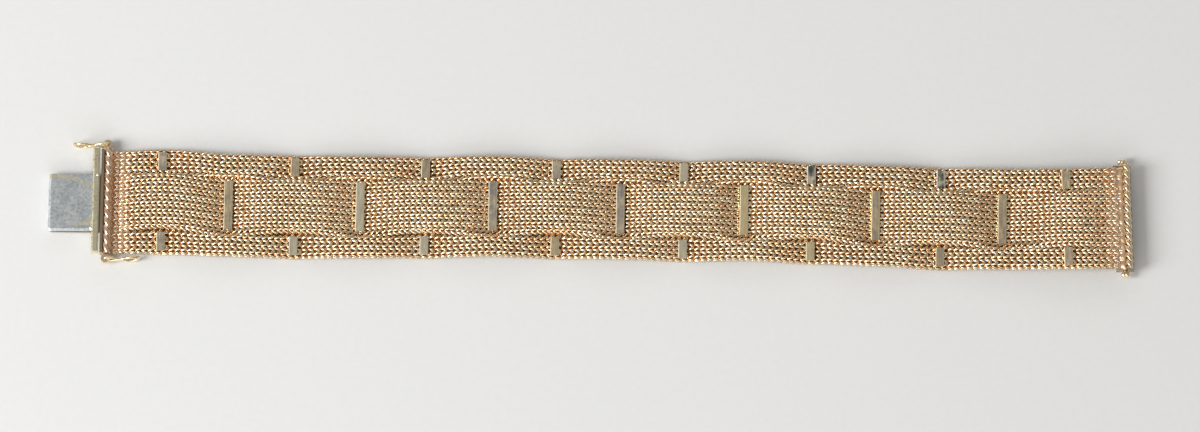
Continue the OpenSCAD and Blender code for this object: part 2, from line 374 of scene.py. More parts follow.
def moved(tree, geometry, place):
    return first(tree, "GeometryNodeSetPosition", {"Geometry": geometry, "Position": place})


def stored(tree, geometry, name, value):
    """The geometry with a number kept on its points."""
    return first(tree, "GeometryNodeStoreNamedAttribute",
                 {"Geometry": geometry, "Name": name, "Value": value}, data_type="FLOAT", domain="POINT")


def swept(tree, path, ring):
    return first(tree, "GeometryNodeCurveToMesh", {"Curve": path, "Profile Curve": ring, "Fill Caps": True})


def random_vector(tree, low, high, seed):
    return first(tree, "FunctionNodeRandomValue", {0: low, 1: high, "Seed": seed}, data_type="FLOAT_VECTOR")


def random_number(tree, low, high, seed, **more):
    node = put(tree, "FunctionNodeRandomValue", {2: low, 3: high, "Seed": seed, **more}, data_type="FLOAT")
    return node.outputs["Value"]


def through_curve(tree, value, rows):
    """A value led through straight stretches between points."""
    node = put(tree, "ShaderNodeFloatCurve", {"Value": value})
    curve = node.mapping.curves[0]
    for point, place in zip(curve.points, (rows[0], rows[-1])):
        point.location = place
    for x, y in rows[1:-1]:
        curve.points.new(x, y)
    for point in curve.points:
        point.handle_type = "VECTOR"
    node.mapping.update()
    return node.outputs[0]


# Weave, wrapped round the band's surface
def weave_carrier():
    """The band's skin as an open sheet, laid out flat in its UV map: U along the mesh, V round its section.
    Its rise attribute says how high the pillow is there, in millimetres."""
    steps = 232
    rounds = 150
    # Where the sheet is cut round the section, and how far it goes past that in rows and past the mesh's ends
    cut = 0.25
    over = 1.5
    past = 0.005
    verts = []
    rises = []
    for i in range(steps + 1):
        section = Section(MESH_X + MESH_LEN * mix(-past, 1 + past, i / steps))
        for j in range(rounds + 1):
            arc = ROW * mix(-ROWS * cut - over, ROWS * (1 - cut) + over, j / rounds)
            verts.append(round_section(section, arc))
            height = verts[-1].z / MM - section.base
            below = abs(arc) > FLAT + EDGE_ARC / 2
            rises.append(height / HOLLOW if below else height - section.thick)
    wide = rounds + 1
    faces = [(i * wide + j, (i + 1) * wide + j, (i + 1) * wide + j + 1, i * wide + j + 1)
             for i in range(steps) for j in range(rounds)]
    sheet = new_object("weave_carrier", verts, faces)
    flat = sheet.data.uv_layers.new(name="flat")
    for loop in sheet.data.loops:
        i, j = divmod(loop.vertex_index, wide)
        flat.data[loop.index].uv = (mix(-past, 1 + past, i / steps),
                                    mix(-cut - over / ROWS, 1 - cut + over / ROWS, j / rounds))
    sheet.data.attributes.new("rise", "FLOAT", "POINT").data.foreach_set("value", rises)
    return sheet


# A leg from its apex (0) to its end (1): how far forward, how far out, and how far down it lies
LEG_BACK = [(0, 0), (0.2, 0.1), (0.4, 0.38), (0.6, 0.65), (0.8, 0.9), (1, 1)]
LEG_OUT = [(0, 0), (0.2, 0.26), (0.4, 0.54), (0.6, 0.8), (0.8, 1), (1, 1)]
LEG_DROP = [(0, 1), (0.2, 0.72), (0.4, 0.3), (0.6, 0.06), (0.8, 0), (1, 0.42)]
# Share of a leg's length between its apex and the link's own place
LEG_MIDDLE = 0.45


def one_link(tree, given, radius):
    """A wire bent to a V, deep where its legs meet, high along them, and turned down at their ends."""
    straight = first(tree, "GeometryNodeCurvePrimitiveLine", {"Start": (0, -1, 0), "End": (0, 1, 0)})
    points = first(tree, "GeometryNodeResampleCurve", {"Curve": straight, "Count": given["Bends"]})
    share = parts(tree, position(tree))["Y"]
    off = calc(tree, "ABSOLUTE", share)
    back, out, drop = [through_curve(tree, off, rows) for rows in (LEG_BACK, LEG_OUT, LEG_DROP)]
    x = times(tree, minus(tree, back, LEG_MIDDLE), given["Leg length"])
    y = times(tree, times(tree, out, calc(tree, "SIGN", share)), given["Leg reach"])
    z = times(tree, drop, times(tree, given["Depth"], -1))
    ring = first(tree, "GeometryNodeCurvePrimitiveCircle", {"Resolution": given["Sides"], "Radius": radius})
    return swept(tree, moved(tree, points, vector(tree, x, y, z)), ring)


# How far a row is shifted along the mesh at most, in links, and how far a link is turned about X, Y and Z
ROW_SHIFT = 0.05
SKEW = Vector((0.06, 0.06, 0.07))
SHIFT_SEED = 7
TONE_SEED = 11
SKEW_SEED = 3


def link_places(tree, given):
    """A flat grid of places, one for each link, each a little off its place and with a tone of its own."""
    dots = first(tree, "GeometryNodePoints", {"Count": times(tree, given["Links"], given["Rows"])})
    index = first(tree, "GeometryNodeInputIndex")
    row = calc(tree, "FLOOR", calc(tree, "DIVIDE", index, given["Links"]))
    step = calc(tree, "MODULO", index, given["Links"])
    loose = given["Looseness"]
    low, high = [vector(tree, off, off, off) for off in (times(tree, loose, -1), loose)]
    shake = random_vector(tree, low, high, given["Seed"])
    shift = random_number(tree, -ROW_SHIFT, ROW_SHIFT, SHIFT_SEED, ID=row)
    pitch = calc(tree, "DIVIDE", MESH_LEN * MM, given["Links"])
    x = times(tree, plus(tree, plus(tree, step, 0.5), shift), pitch)
    y = times(tree, plus(tree, row, given["First row"]), ROW * MM)
    spread = moved(tree, dots, added(tree, vector(tree, x, y), shake))
    return stored(tree, spread, "tone", random_number(tree, 0.0, 1.0, TONE_SEED))


# How far past an end of the mesh a link may still follow the carrier, as a share of the mesh's length
END_PAST = 0.004


def weave_tree():
    """Rows of V-shaped links on a flat grid, then laid on the surface that the UV map spreads out."""
    tree, sockets, given = new_tree("Woven links", (
        ("Skin", "Geometry"), ("Links", "Int"), ("First row", "Float"), ("Rows", "Int"),
        ("Wire diameter", "Float"), ("Bends", "Int"), ("Sides", "Int"), ("Leg length", "Float"),
        ("Leg reach", "Float"), ("Depth", "Float"), ("Looseness", "Float"), ("Seed", "Int"),
        ("Finish", "Material")), "Weave")
    radius = times(tree, given["Wire diameter"], 0.5)
    laid = first(tree, "GeometryNodeInstanceOnPoints", {
        "Points": link_places(tree, given), "Instance": one_link(tree, given, radius),
        "Rotation": random_vector(tree, -SKEW, SKEW, SKEW_SEED)})
    solid = first(tree, "GeometryNodeRealizeInstances", {"Geometry": laid})

    # Every corner of every link moves from the flat grid to the surface
    here = parts(tree, position(tree))
    share = calc(tree, "DIVIDE", here["X"], MESH_LEN * MM)
    kept = calc(tree, "MINIMUM", 1 + END_PAST, calc(tree, "MAXIMUM", -END_PAST, share))
    flat = vector(tree, kept, calc(tree, "DIVIDE", here["Y"], GIRTH * MM))
    chart = first(tree, "GeometryNodeInputNamedAttribute", {"Name": "flat"}, data_type="FLOAT_VECTOR")

    def on_skin(value, kind):
        return first(tree, "GeometryNodeSampleUVSurface", {
            "Mesh": given["Skin"], "Value": value, "UV Map": chart, "Sample UV": flat}, data_type=kind)

    skin = on_skin(position(tree), "FLOAT_VECTOR")
    outward = on_skin(first(tree, "GeometryNodeInputNormal"), "FLOAT_VECTOR")
    rise = first(tree, "GeometryNodeInputNamedAttribute", {"Name": "rise"}, data_type="FLOAT")
    height = minus(tree, here["Z"], radius)
    whole = plus(tree, given["Depth"], given["Wire diameter"])
    sunk = calc(tree, "DIVIDE", times(tree, height, -1), whole)
    marked = stored(tree, stored(tree, solid, "sunk", sunk), "rise", on_skin(rise, "FLOAT"))
    wrapped = moved(tree, marked, added(tree, skin, scaled(tree, outward, height)))
    end_tree(tree, wrapped, given["Finish"])
    return tree, sockets


def run_tree(carrier, tree, sockets, values, name):
    """What a tree makes of its carrier, as a plain mesh of its own."""
    work = carrier.copy()
    bpy.context.scene.collection.objects.link(work)
    modifier = work.modifiers.new("make", "NODES")
    modifier.node_group = tree
    for key, value in values.items():
        modifier[sockets[key].identifier] = value
    solid = bpy.data.meshes.new_from_object(work.evaluated_get(bpy.context.evaluated_depsgraph_get()))
    solid.name = name
    piece = linked(name, solid)
    bpy.data.objects.remove(work)
    return piece


# Finishes
def material(name):
    made = bpy.data.materials.new(name)
    made.use_nodes = True
    tree = made.node_tree
    return made, tree, tree.nodes["Principled BSDF"]


def object_place(tree):
    return put(tree, "ShaderNodeTexCoord").outputs["Object"]


def cloud(tree, place, scale, detail, roughness=0.5):
    """Smooth noise from 0 to 1."""
    return first(tree, "ShaderNodeTexNoise",
                 {"Vector": place, "Scale": scale, "Detail": detail, "Roughness": roughness})


def attribute(tree, name):
    return put(tree, "ShaderNodeAttribute", attribute_name=name).outputs["Fac"]


def fade(tree, value, start, end, low=0.0, high=1.0, curve="LINEAR"):
    """Goes from low to high while value goes from start to end."""
    return first(tree, "ShaderNodeMapRange", {"Value": value, 1: start, 2: end, 3: low, 4: high},
                 interpolation_type=curve)


def mixed(tree, kind, share, a, b):
    node = put(tree, "ShaderNodeMix", {"Factor": share, "A": a, "B": b}, data_type=kind)
    return node.outputs["Result"]


def ramp(tree, value, stops):
    """Colours that follow a value, from pairs of value and colour."""
    node = put(tree, "ShaderNodeValToRGB", {0: value})
    band = node.color_ramp.elements
    while len(band) < len(stops):
        band.new(0.5)
    for element, (at, color) in zip(band, stops):
        element.position = at
        element.color = (*color, 1)
    return node.outputs[0]


def metal(tree, surface, color, rough, **bump):
    """Feeds a metal surface its colour, its roughness and its bump."""
    feed(tree, surface.inputs["Base Color"], color)
    surface.inputs["Metallic"].default_value = 1.0
    feed(tree, surface.inputs["Roughness"], rough)
    feed(tree, surface.inputs["Normal"], first(tree, "ShaderNodeBump", bump))


# Values of noise at which a surface turns darkest and lightest, or smoothest and roughest
WEAR_RANGE = (0.3, 0.7)


def gold(name, dark, light, rough, scale=400, bump=0.15, tone=None, changes=()):
    """Polished or satin gold: two tones mixed by coarse noise, and by the attribute that tone names, with
    roughness and bump from fine noise. Each of changes gives another colour where its own rule says."""
    made, tree, surface = material(name)
    spot = object_place(tree)
    blend = cloud(tree, spot, scale / 4, detail=3)
    fine = cloud(tree, spot, scale * 6, detail=4)
    if tone:
        blend = blended(tree, blend, attribute(tree, tone), 0.5)
    color = ramp(tree, blend, list(zip(WEAR_RANGE, (dark, light))))
    for change in changes:
        share, other = change(tree, spot)
        color = mixed(tree, "RGBA", share, color, (*other, 1))
    metal(tree, surface, color, fade(tree, fine, 0, 1, *rough),
          Height=fine, Strength=bump, Distance=0.02 * MM)
    return made


# Solder's stain on the links: where it starts to fade and where it ends, from the mesh's end in millimetres,
# and its strength
TONGUE_STAIN = (0.5, 4.5, 0.45)
BOX_STAIN = (0.5, 3, 0.7)
STAIN_COLOR = (0.93, 0.73, 0.57)


def rosy_ends(tree, spot):
    """Links near the soldered ends are stained with solder."""
    x = parts(tree, spot)["X"]
    start, end, strength = TONGUE_STAIN
    from_tongue = fade(tree, x, (MESH_X + start) * MM, (MESH_X + end) * MM, low=strength, high=0)
    start, end, strength = BOX_STAIN
    from_box = fade(tree, x, (MESH_END_X - start) * MM, (MESH_END_X - end) * MM, low=strength, high=0)
    return plus(tree, from_tongue, from_box), STAIN_COLOR


# Depth below the links' tops at which painted shade starts on the wire and is darkest, as a share of the
# weave's depth
SHADE_DEPTH = (0.1, 0.5)
# Rise of the pillows, in millimetres, where the painted shade on deep wire is darkest and lightest, and its
# strength at the latter
SHADE_RISE = (0.3, 1.4)
CREST_SHARE = 0.6
VALLEY_SHADE_COLOR = (0.82, 0.38, 0.16)


def shaded_valleys(tree, spot):
    """Painted shade: wire that lies deep between the rows is darker and redder, most of all beside the bars.
    """
    sunk = fade(tree, attribute(tree, "sunk"), *SHADE_DEPTH)
    low = fade(tree, attribute(tree, "rise"), *SHADE_RISE, low=1, high=CREST_SHARE)
    return times(tree, sunk, low), VALLEY_SHADE_COLOR


# Distances from the centre line between which the tips of a clasp end get a painted highlight
TIPS_Y = (9.85, 10.0)
TIPS_HIGHLIGHT_COLOR = (0.95, 0.79, 0.53)


def highlighted_tips(tree, spot):
    """Painted highlight: eyelets and beads that stand out at the sides of a clasp end are painted in lighter
    gold where they catch the light.
    """
    y = calc(tree, "ABSOLUTE", parts(tree, spot)["Y"])
    return fade(tree, y, TIPS_Y[0] * MM, TIPS_Y[1] * MM), TIPS_HIGHLIGHT_COLOR


# Where painted shade in a rope's groove starts and is darkest, from 0 on a wire to 1 between two, and its
# strength
CREASE_RANGE = (0.3, 0.9)
CREASE_SHARE = 0.8
CREASE_SHADE_COLOR = (0.34, 0.17, 0.09)


def shaded_crease(tree, spot):
    """Painted shade: the groove between a rope's wires is darkened."""
    return fade(tree, attribute(tree, "crease"), *CREASE_RANGE, high=CREASE_SHARE), CREASE_SHADE_COLOR


# Mesh gold, with painted shade in its valleys and real solder stain near its ends
MESH_GOLD = gold("mesh_gold", (0.76, 0.60, 0.38), (0.91, 0.79, 0.56), (0.2, 0.32), tone="tone",
                 changes=(shaded_valleys, rosy_ends))
# Painted shade: the core's near-black gold stands in for the shade between the links
CORE_SHADE = gold("core_painted_shade", (0.16, 0.075, 0.03), (0.26, 0.13, 0.05), (0.5, 0.7))
CLASP_GOLD = gold("clasp_gold", (0.40, 0.31, 0.22), (0.60, 0.48, 0.34), (0.24, 0.4), changes=(highlighted_tips,))
SOLDER_GOLD = gold("solder_gold", (0.78, 0.53, 0.36), (0.98, 0.75, 0.53), (0.24, 0.4), scale=1200, bump=0.3)
BOX_SOLDER = gold("box_solder", (0.84, 0.52, 0.30), (1.0, 0.72, 0.46), (0.24, 0.4), scale=1200, bump=0.3)
ROSE_GOLD = gold("rose_gold", (0.98, 0.66, 0.46), (1.0, 0.80, 0.60), (0.22, 0.34), scale=900,
                 changes=(shaded_crease,))
ROPE_GOLD = gold("rope_gold", (0.80, 0.63, 0.42), (0.98, 0.84, 0.60), (0.24, 0.34), changes=(shaded_crease,))
CATCH_GOLD = gold("catch_gold", (0.88, 0.70, 0.42), (1.0, 0.86, 0.60), (0.16, 0.28))
BEAD_GOLD = gold("bead_gold", (0.96, 0.92, 0.78), (1.0, 0.98, 0.88), (0.2, 0.34), scale=1500)

# Scratches along a bar: how often they come along X, Y and Z, in waves a metre
SCRATCH_SCALE = (4200, 420, 4200)
# Share of the clouds in a bar's tones, the rest being scratches, and the values where the two tones are full
BAR_CLOUDS = 0.72
BAR_TONES_RANGE = (0.42, 0.58)
# Upright share of a face's normal at which a bar's bevel starts and is full
BEVEL_UPRIGHT = (0.97, 0.9)
# Faces steeper than this are no bevel, and the bevel's normal is lifted by this much
BEVEL_STEEPEST = 0.3
BEVEL_LIFT = 0.75


def bar_finish(name, cool, warm, edge):
    """Satin gold of a bar: cloudy patches of two tones, scratches along it, and a bevel in a lighter edge
    colour, partly wear and partly painted highlight.
    """
    made, tree, surface = material(name)
    spot = object_place(tree)
    clouds = cloud(tree, spot, 520, detail=4, roughness=0.6)
    stretched = first(tree, "ShaderNodeMapping", {"Vector": spot, "Scale": SCRATCH_SCALE})
    scratches = cloud(tree, stretched, 1, detail=5, roughness=0.7)
    halfway = tuple((a + b) / 2 for a, b in zip(cool, warm))
    low, high = BAR_TONES_RANGE
    blend = blended(tree, clouds, scratches, BAR_CLOUDS)
    tones = ramp(tree, blend, [(low, cool), (0.5, halfway), (high, warm)])
    geometry = put(tree, "ShaderNodeNewGeometry").outputs
    upright = parts(tree, geometry["True Normal"])["Z"]
    rubbed = fade(tree, upright, *BEVEL_UPRIGHT)
    # The bevel's lighter colour is partly wear and partly a painted highlight where it catches the light
    color = mixed(tree, "RGBA", rubbed, tones, (*edge, 1))
    # The bevel is worn round, so its normal leans towards the top
    lifted = added(tree, geometry["Normal"], (0, 0, BEVEL_LIFT))
    turned = first(tree, "ShaderNodeVectorMath", {0: lifted}, operation="NORMALIZE")
    on_bevel = times(tree, rubbed, calc(tree, "GREATER_THAN", upright, BEVEL_STEEPEST))
    worn = mixed(tree, "VECTOR", on_bevel, geometry["Normal"], turned)
    metal(tree, surface, color, fade(tree, scratches, *WEAR_RANGE, low=0.28, high=0.5),
          Height=scratches, Strength=0.25, Distance=0.03 * MM, Normal=worn)
    return made


BAR_FINISHES = {
    "plain": bar_finish("bar_plain", (0.64, 0.53, 0.40), (0.90, 0.74, 0.47), (0.98, 0.84, 0.58)),
    "grey": bar_finish("bar_grey", (0.54, 0.49, 0.44), (0.96, 0.82, 0.58), (0.98, 0.86, 0.62)),
    "pale": bar_finish("bar_pale", (0.92, 0.80, 0.62), (1.0, 0.93, 0.66), (1.0, 0.92, 0.70)),
    "yellow": bar_finish("bar_yellow", (1.0, 0.79, 0.46), (1.0, 0.87, 0.54), (1.0, 0.90, 0.60)),
    # Painted reflection: these bars' near-black patches stand in for dark surroundings mirrored in them, and
    # their white bevels for painted glints
    "painted_glare": bar_finish("bar_painted_glare", (0.16, 0.17, 0.16), (1.0, 0.92, 0.68), (1.0, 0.99, 0.93)),
}
# Bars that get another finish than the plain one: lighter, greyer, yellower or glaring copies of the satin
# gold, painted reflection for how each bar catches its surroundings
BAR_TONES = {
    "long_bar_2": "pale", "long_bar_3": "grey", "long_bar_4": "grey", "long_bar_5": "yellow",
    "upper_bar_1": "grey", "upper_bar_4": "grey", "upper_bar_5": "pale", "upper_bar_6": "painted_glare",
    "upper_bar_7": "painted_glare", "lower_bar_1": "grey", "lower_bar_2": "pale", "lower_bar_3": "pale",
    "lower_bar_5": "pale", "lower_bar_6": "yellow",
}

# Colours of the leaf and of the thumb bar for rising values of their noise, and of the smears on the leaf
LEAF_STOPS = [(0.36, (0.66, 0.72, 0.77)), (0.48, (0.82, 0.88, 0.92)), (0.56, (0.94, 0.98, 1.0)),
              (0.66, (1.0, 1.0, 0.98))]
THUMB_STOPS = [(0.35, (0.78, 0.69, 0.46)), (0.5, (0.95, 0.87, 0.61)), (0.66, (1.0, 0.96, 0.74))]
SMEAR_COLOR = (1.0, 0.96, 0.76, 1)
# Share of the clouds in the leaf's tones, the rest being flecks
LEAF_CLOUDS = 0.62
# The far smear: its distance from the leaf's far edge, how it curves away from that, and where it fades
FAR_IN = 0.35
FAR_CURVE = 0.028
FAR_FADE = (0.42, 0.2)
# The near smear: its upper edge at a place along the leaf, how that slopes, its lower edge and where it fades
NEAR_TOP = 1.1
NEAR_X = 4.4
NEAR_SLOPE = 0.4
NEAR_LOW = 0.95
NEAR_FADE = (0.0, 0.15)
# How far the smears' edges waver, and the near one's share of that
WAVER = 1.2
NEAR_WAVER = 0.4
# Rubbed edges: how wide and how deep they are on the leaf and on the thumb bar, and the depth of the wear
LEAF_EDGE_W = 0.45
LEAF_EDGE_T = 0.16
THUMB_EDGE_W = 0.3
THUMB_EDGE_T = 0.12
WEAR_T = 0.03
# Half the length along X over which the leaf's finish turns into the thumb bar's
SEAM_HALF = 0.02


def leaf_smears(tree, along_leaf, from_front, clouds):
    """1 on the two smears of the leaf, and 0 beside them."""
    waver = times(tree, minus(tree, clouds, 0.5), WAVER)
    bow = times(tree, FAR_CURVE, calc(tree, "POWER", along_leaf, 2.0))
    from_line = minus(tree, from_front, minus(tree, LEAF_W - FAR_IN, bow))
    far_smear = fade(tree, calc(tree, "ABSOLUTE", plus(tree, from_line, waver)), *FAR_FADE)
    near_top = plus(tree, NEAR_TOP, times(tree, NEAR_SLOPE, minus(tree, along_leaf, NEAR_X)))
    inside = calc(tree, "MINIMUM", minus(tree, near_top, from_front), minus(tree, from_front, NEAR_LOW))
    near_smear = fade(tree, plus(tree, inside, times(tree, waver, NEAR_WAVER)), *NEAR_FADE)
    return calc(tree, "MINIMUM", plus(tree, far_smear, near_smear), 1.0)


def leaf_finish():
    """Worn white gold of the sprung leaf, with two pale smears of yellow, and a yellower thumb bar."""
    made, tree, surface = material("white_gold")
    spot = object_place(tree)
    place = parts(tree, spot)
    along_leaf = times(tree, minus(tree, place["X"], TIP_X * MM), 1 / MM)
    from_front = times(tree, minus(tree, place["Y"], LEAF_FRONT_Y * MM), 1 / MM)
    clouds = cloud(tree, spot, 420, detail=5, roughness=0.62)
    flecks = cloud(tree, spot, 2600, detail=4, roughness=0.7)
    blend = blended(tree, clouds, flecks, LEAF_CLOUDS)
    smears = leaf_smears(tree, along_leaf, from_front, clouds)
    leaf = mixed(tree, "RGBA", smears, ramp(tree, blend, LEAF_STOPS), SMEAR_COLOR)
    on_bar = fade(tree, along_leaf, TONGUE_LEN - SEAM_HALF, TONGUE_LEN + SEAM_HALF)
    color = mixed(tree, "RGBA", on_bar, leaf, ramp(tree, blend, THUMB_STOPS))
    # The front edge of the leaf and all edges of the thumb bar are rubbed round
    leaf_edge = fade(tree, from_front, 0.0, LEAF_EDGE_W, curve="SMOOTHSTEP")
    across = calc(tree, "ABSOLUTE", minus(tree, times(tree, place["Y"], 1 / MM), THUMB_OFF))
    from_ends = minus(tree, THUMB_LEN / 2, across)
    from_sides = calc(tree, "MINIMUM", minus(tree, along_leaf, TONGUE_LEN),
                      minus(tree, TONGUE_LEN + THUMB_SIDE, along_leaf))
    inside = calc(tree, "MINIMUM", from_ends, from_sides)
    thumb_edge = fade(tree, inside, 0.0, THUMB_EDGE_W, curve="SMOOTHSTEP")
    rubbed = mixed(tree, "FLOAT", on_bar, times(tree, leaf_edge, LEAF_EDGE_T),
                   times(tree, thumb_edge, THUMB_EDGE_T))
    metal(tree, surface, color, fade(tree, flecks, *WEAR_RANGE, low=0.24, high=0.46),
          Height=plus(tree, rubbed, times(tree, blend, WEAR_T)), Strength=1.0, Distance=MM)
    return made


WHITE_GOLD = leaf_finish()

# Pieces

# Strips of the weave: name, links along it, first row, rows, and the bends and sides of a link's wire
STRIPS = [
    ("weave_middle", 176, -3.5, 8, 11, 6), ("weave_upper", 160, 4.5, 3, 11, 6),
    ("weave_lower", 160, -6.5, 3, 11, 6), ("weave_under", 160, 7.5, 15, 8, 5),
]


def weave():
    """The four strips of the weave, wrapped round one carrier."""
    carrier = weave_carrier()
    tree, sockets = weave_tree()
    common = {"Wire diameter": 0.5 * MM, "Leg length": 1.25 * MM, "Leg reach": 0.47 * MM, "Depth": 0.5 * MM,
              "Looseness": 0.015 * MM, "Finish": MESH_GOLD}
    made = []
    for seed, (name, links, first_row, rows, bends, sides) in enumerate(STRIPS):
        values = {**common, "Links": links, "First row": first_row, "Rows": rows, "Bends": bends,
                  "Sides": sides, "Seed": seed}
        made.append(run_tree(carrier, tree, sockets, values, name))
    bpy.data.objects.remove(carrier)
    return made


def closed_skin(rounds, steps):
    """Faces of a skin over rings of points, with both ends closed between its top and its underside."""
    faces = []
    for i in range(steps):
        for j in range(rounds):
            a, b = i * rounds + j, i * rounds + (j + 1) % rounds
            faces.append((a, a + rounds, b + rounds, b))
    half = rounds // 2
    for j in range(-(rounds // 4), half - rounds // 4 - 1):
        strip = (j % rounds, (j + 1) % rounds, (half - 1 - j) % rounds, (half - j) % rounds)
        faces.append(strip)
        faces.append(tuple(steps * rounds + k for k in reversed(strip)))
    return faces


def painted_shade_core():
    """The inner wires of the mesh as a near-black body between the links: painted shade in the gaps."""
    steps = 230
    rounds = 58
    inset = 0.45
    end_gap = 0.05
    sections = [Section(MESH_X + mix(end_gap, MESH_LEN - end_gap, i / steps)) for i in range(steps + 1)]
    verts = [round_section(section, GIRTH * j / rounds) for section in sections for j in range(rounds)]
    core = new_object("painted_shade_core", verts, closed_skin(rounds, steps))
    for vertex, normal in zip(core.data.vertices, [v.normal.copy() for v in core.data.vertices]):
        vertex.co -= Vector((0, normal.y, normal.z)) * inset * MM
    return dressed(core, CORE_SHADE)


# Waves of a seam's ragged edge: how often they come, their own layer of noise, and their height
EDGE_WAVES = [(0.9, 0, 0.45), (3.1, 5, 0.2)]
# Lumps on a seam: how often they come along it and round it, their own layer of noise, and their height
LUMPS = [(1.6, 1.6, 3, 0.05), (0.5, 3.5, 9, 0.05)]
# A seam's inner end sinks by this much, from this share of its length and over this share of it
END_SINK = 0.35
SINK_FROM = 0.4
SINK_OVER = 0.5
# It never sinks deeper than this share of the mesh's thickness
DEEPEST = 0.4
# Within this distance of the mesh's edge it also sinks sideways, by these weights of its Y and Z
EDGE_ZONE = 1
EDGE_PULL_Y = 0.8
EDGE_PULL_Z = 2


def solder_seam(name, inner, outer, level, flood, finish):
    """Solder that runs from a clasp end into the mesh. It starts as high as the links, and over the length
    level it sinks by flood."""
    steps = 26
    rounds = 150
    verts = []
    for i in range(steps + 1):
        t = i / steps
        x = mix(outer, inner, t)
        section = Section(min(MESH_END_X, max(MESH_X, x)))
        for j in range(rounds):
            arc = GIRTH * j / rounds
            ragged = sum(noise.noise(Vector((arc * often, layer, inner))) * high
                         for often, layer, high in EDGE_WAVES)
            near = t - ragged * t * (1 - t)
            spot = round_section(section, arc) / MM
            relief = section.relief((spot.y - section.sway) / section.stretch)
            middle = section.base + (section.thick + (1 + HOLLOW) * relief) / 2
            lump = sum(noise.noise(Vector((x * lengthwise, arc * around, layer))) * high
                       for lengthwise, around, layer, high in LUMPS)
            sink = END_SINK * ease((near - SINK_FROM) / SINK_OVER)
            depth = min(flood * ease(abs(x - outer) / level) + sink - lump, DEEPEST * section.thick)
            away = spot - Vector((spot.x, section.sway, middle))
            pull = Vector((0, 0, away.z))
            if abs(away.y) > HALF - EDGE_ZONE:
                pull = Vector((0, away.y / HALF * EDGE_PULL_Y, away.z * EDGE_PULL_Z))
            verts.append((spot - pull.normalized() * depth) * MM)
    seam = new_object(name, verts, closed_skin(rounds, steps))
    faced_out(seam)
    return dressed(seam, finish)


def solder_bead(name, spot, size):
    """A drop of solder where the leaf meets its thumb bar."""
    shape = bmesh.new()
    place = Matrix.Translation(Vector(spot) * MM) @ Matrix.Diagonal((*[half * MM for half in size], 1))
    bmesh.ops.create_uvsphere(shape, u_segments=20, v_segments=12, radius=1, matrix=place)
    mesh = bpy.data.meshes.new(name)
    shape.to_mesh(mesh)
    shape.free()
    return dressed(linked(name, mesh), BEAD_GOLD)


# Rings of a wire's rounded end, as shares of a quarter turn from its tip
TIP_RINGS = (0.3, 0.65, 0.9)


def tube(name, path, radius, sides, finish):
    """A round wire along a path of points, with rounded ends."""
    rings = []
    side = None
    for i, spot in enumerate(path):
        ahead = (path[min(i + 1, len(path) - 1)] - path[max(i - 1, 0)]).normalized()
        if side is None:
            side = ahead.orthogonal().normalized()
        side = (side - ahead * side.dot(ahead)).normalized()
        rings.append((spot, ahead, side, ahead.cross(side)))

    def tip_ring(ring, share, outward):
        spot, ahead, side, up = ring
        turn = share * pi / 2
        return spot + ahead * radius * outward * cos(turn), side, up, radius * sin(turn)

    capped = [tip_ring(rings[0], share, -1) for share in TIP_RINGS]
    capped += [(spot, side, up, radius) for spot, _, side, up in rings]
    capped += [tip_ring(rings[-1], share, 1) for share in reversed(TIP_RINGS)]
    verts = [spot + r * (cos(2 * pi * k / sides) * side + sin(2 * pi * k / sides) * up)
             for spot, side, up, r in capped for k in range(sides)]
    faces = []
    for i in range(len(capped) - 1):
        for k in range(sides):
            a, b = i * sides + k, i * sides + (k + 1) % sides
            faces.append((a, b, b + sides, a + sides))
    faces.append(tuple(range(sides - 1, -1, -1)))
    faces.append(tuple((len(capped) - 1) * sides + k for k in range(sides)))
    return dressed(new_object(name, verts, faces), finish)


def joined(name, pieces):
    """Several pieces of one material as one piece."""
    verts = []
    faces = []
    for piece in pieces:
        start = len(verts)
        verts += [v.co.copy() for v in piece.data.vertices]
        faces += [tuple(start + i for i in face.vertices) for face in piece.data.polygons]
    whole = dressed(new_object(name, verts, faces), pieces[0].data.materials[0])
    for piece in pieces:
        bpy.data.objects.remove(piece)
    return whole


# Steps of a rope for each turn, sides of its section, and how sharply its groove is cut
ROPE_STEPS = 24
ROPE_SIDES = 32
GROOVE_POWER = 1.7


def rope_tree():
    """Two wires twisted tightly round each other: a section with two lobes that turns along a line."""
    tree, sockets, given = new_tree("Rope trim", (
        ("Length", "Float"), ("Diameter", "Float"), ("Turns", "Float"), ("Steps", "Int"), ("Sides", "Int"),
        ("Groove", "Float"), ("Finish", "Material")), "Rope")
    half = times(tree, given["Length"], 0.5)
    line = first(tree, "GeometryNodeCurvePrimitiveLine", {
        "Start": vector(tree, y=times(tree, half, -1)), "End": vector(tree, y=half)})
    points = first(tree, "GeometryNodeResampleCurve", {"Curve": line, "Count": given["Steps"]})
    share = put(tree, "GeometryNodeSplineParameter").outputs["Factor"]
    twist = times(tree, share, times(tree, given["Turns"], -2 * pi))
    twisted = first(tree, "GeometryNodeSetCurveTilt", {"Curve": points, "Tilt": twist})
    ring = first(tree, "GeometryNodeCurvePrimitiveCircle", {"Resolution": given["Sides"], "Radius": 1.0})
    around = position(tree)
    lobe = calc(tree, "ABSOLUTE", parts(tree, around)["X"])
    crease = calc(tree, "POWER", minus(tree, 1.0, lobe), GROOVE_POWER)
    left = minus(tree, 1.0, times(tree, given["Groove"], crease))
    size = times(tree, times(tree, given["Diameter"], 0.5), left)
    profile = moved(tree, stored(tree, ring, "crease", crease), scaled(tree, around, size))
    end_tree(tree, swept(tree, twisted, profile), given["Finish"])
    return tree, sockets


